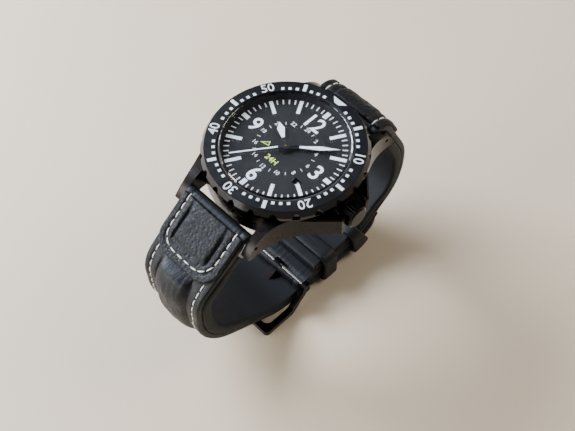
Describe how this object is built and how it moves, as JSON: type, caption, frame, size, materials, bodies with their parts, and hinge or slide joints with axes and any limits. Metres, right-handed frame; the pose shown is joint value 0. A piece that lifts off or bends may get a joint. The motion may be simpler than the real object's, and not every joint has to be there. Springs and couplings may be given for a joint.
{
  "type": "dive watch",
  "caption": "Wrist watch with a rotating bezel, extra time zone hand and self-winding movement, on a buckled padded leather strap.",
  "frame": {"origin": "centre of the case back's outer face, on the hand axis", "axes": "+Z out through the crystal, +Y to 12 o'clock, +X to 3 o'clock and the crown"},
  "size_m": [0.047, 0.0783, 0.0603],
  "materials": {
    "coated_steel": "satin black coated steel",
    "steel": "satin",
    "sapphire": "polished",
    "black_rubber": "matte",
    "matte_black": "matte",
    "lume": "matte",
    "green_lume": "matte",
    "brass": "satin",
    "rhodium": "satin",
    "plastic": "matte",
    "leather": "grained",
    "lining_leather": "smooth",
    "date_black": "matte",
    "blue_steel": "satin"
  },
  "bodies": {
    "case": {"mid_case": "coated_steel", "case_back": "coated_steel", "case_back_gasket": "black_rubber", "crystal": "sapphire", "crystal_gasket": "black_rubber", "dial_flange": "matte_black", "dial": "matte_black", "crown_tube": "steel", "movement_ring": "plastic", "bezel_click_spring": "steel", "bezel_retaining_wire": "steel", "main_plate": "rhodium", "train_bridge": "rhodium", "balance_cock": "rhodium", "bridge_screws": "steel", "rotor_bearing": "steel", "spring_bars": "steel", "strap_12_outer": "leather", "strap_12_lining": "lining_leather", "strap_12_patch": "leather", "strap_6_outer": "leather", "strap_6_lining": "lining_leather", "strap_6_patch": "leather", "fixed_keeper": "leather", "buckle_spring_bar": "steel"},
    "bezel": {"bezel_ring": "coated_steel", "bezel_insert": "matte_black", "bezel_marker": "lume"},
    "clutch": {"sliding_pinion": "steel", "winding_pinion": "steel"},
    "crown": {"crown": "coated_steel", "crown_gasket": "black_rubber", "winding_stem": "steel"},
    "minute": {"centre_wheel": "brass", "cannon_pinion": "rhodium", "minute_hand": "matte_black", "minute_lume": "lume"},
    "hour": {"hour_wheel": "brass", "hour_hand": "matte_black", "hour_lume": "lume"},
    "dual_time": {"dual_time_wheel": "brass", "dual_time_hand": "matte_black", "dual_time_arrow": "green_lume"},
    "seconds": {"fourth_wheel": "brass", "seconds_hand": "matte_black", "seconds_lume": "lume"},
    "third": {"third_wheel": "brass"},
    "minute_wheel": {"minute_wheel": "brass"},
    "barrel": {"barrel": "brass", "mainspring": "blue_steel"},
    "escape": {"escape_wheel": "rhodium"},
    "pallet": {"pallet_fork": "rhodium"},
    "balance": {"balance_wheel": "brass", "hairspring": "blue_steel"},
    "date": {"date_ring": "date_black"},
    "rotor": {"rotor": "steel"},
    "keeper": {"free_keeper": "leather"},
    "buckle": {"buckle_frame": "coated_steel"},
    "tongue": {"buckle_tongue": "coated_steel"}
  },
  "joints": [
    {"name": "bezel_turn", "type": "hinge", "parent": "case", "child": "bezel", "pos_m": [0, 0, 0.01], "axis": [0, 0, 1], "continuous": true},
    {"name": "crown_turn", "type": "hinge", "parent": "case", "child": "clutch", "pos_m": [0.009, 0, 0.005], "axis": [1, 0, 0], "continuous": true},
    {"name": "crown_pull", "type": "slide", "parent": "clutch", "child": "crown", "axis": [1, 0, 0], "range_m": [0, 0.0018]},
    {"name": "minute_turn", "type": "hinge", "parent": "case", "child": "minute", "pos_m": [0, 0, 0.0097], "axis": [0, 0, 1], "continuous": true},
    {"name": "hour_turn", "type": "hinge", "parent": "case", "child": "hour", "pos_m": [0, 0, 0.0094], "axis": [0, 0, 1], "continuous": true},
    {"name": "dual_time_turn", "type": "hinge", "parent": "case", "child": "dual_time", "pos_m": [0, 0, 0.0092], "axis": [0, 0, 1], "continuous": true},
    {"name": "seconds_turn", "type": "hinge", "parent": "case", "child": "seconds", "pos_m": [0, 0, 0.01], "axis": [0, 0, 1], "continuous": true},
    {"name": "third_wheel_turn", "type": "hinge", "parent": "case", "child": "third", "pos_m": [0.00388, -0.00224, 0.005], "axis": [0, 0, 1], "continuous": true},
    {"name": "minute_wheel_turn", "type": "hinge", "parent": "case", "child": "minute_wheel", "pos_m": [0.00101, 0.00378, 0.0078], "axis": [0, 0, 1], "continuous": true},
    {"name": "barrel_turn", "type": "hinge", "parent": "case", "child": "barrel", "pos_m": [-0.00453, 0.0038, 0.0054], "axis": [0, 0, 1], "continuous": true},
    {"name": "escape_wheel_turn", "type": "hinge", "parent": "case", "child": "escape", "pos_m": [-0.00073, -0.00415, 0.0053], "axis": [0, 0, 1], "continuous": true},
    {"name": "pallet_rock", "type": "hinge", "parent": "case", "child": "pallet", "pos_m": [-0.00353, -0.00491, 0.0056], "axis": [0, 0, 1], "range_deg": [-6, 6]},
    {"name": "balance_swing", "type": "hinge", "parent": "case", "child": "balance", "pos_m": [-0.0046, -0.0084, 0.0051], "axis": [0, 0, 1], "range_deg": [-270, 270], "stiffness_Nm_per_rad": 0.000001, "deforming": ["hairspring"]},
    {"name": "date_turn", "type": "hinge", "parent": "case", "child": "date", "pos_m": [0, 0, 0.0079], "axis": [0, 0, 1], "continuous": true},
    {"name": "rotor_turn", "type": "hinge", "parent": "case", "child": "rotor", "pos_m": [0, 0, 0.0024], "axis": [0, 0, 1], "continuous": true},
    {"name": "keeper_slide", "type": "hinge", "parent": "case", "child": "keeper", "pos_m": [0, 0.01251, -0.02492], "axis": [1, 0, 0], "range_deg": [-8, 8]},
    {"name": "buckle_swing", "type": "hinge", "parent": "case", "child": "buckle", "pos_m": [0, -0.0045, -0.04102], "axis": [1, 0, 0], "range_deg": [-5, 12]},
    {"name": "tongue_swing", "type": "hinge", "parent": "buckle", "child": "tongue", "pos_m": [0, -0.0045, -0.04102], "axis": [1, 0, 0], "range_deg": [0, 8]}
  ],
  "couplings": [
    {"joint": "hour_turn", "follows": "minute_turn", "ratio": 0.083333},
    {"joint": "dual_time_turn", "follows": "minute_turn", "ratio": 0.041667},
    {"joint": "seconds_turn", "follows": "minute_turn", "ratio": 60},
    {"joint": "third_wheel_turn", "follows": "minute_turn", "ratio": -7.5},
    {"joint": "minute_wheel_turn", "follows": "minute_turn", "ratio": -0.33333},
    {"joint": "barrel_turn", "follows": "minute_turn", "ratio": -0.16667}
  ]
}
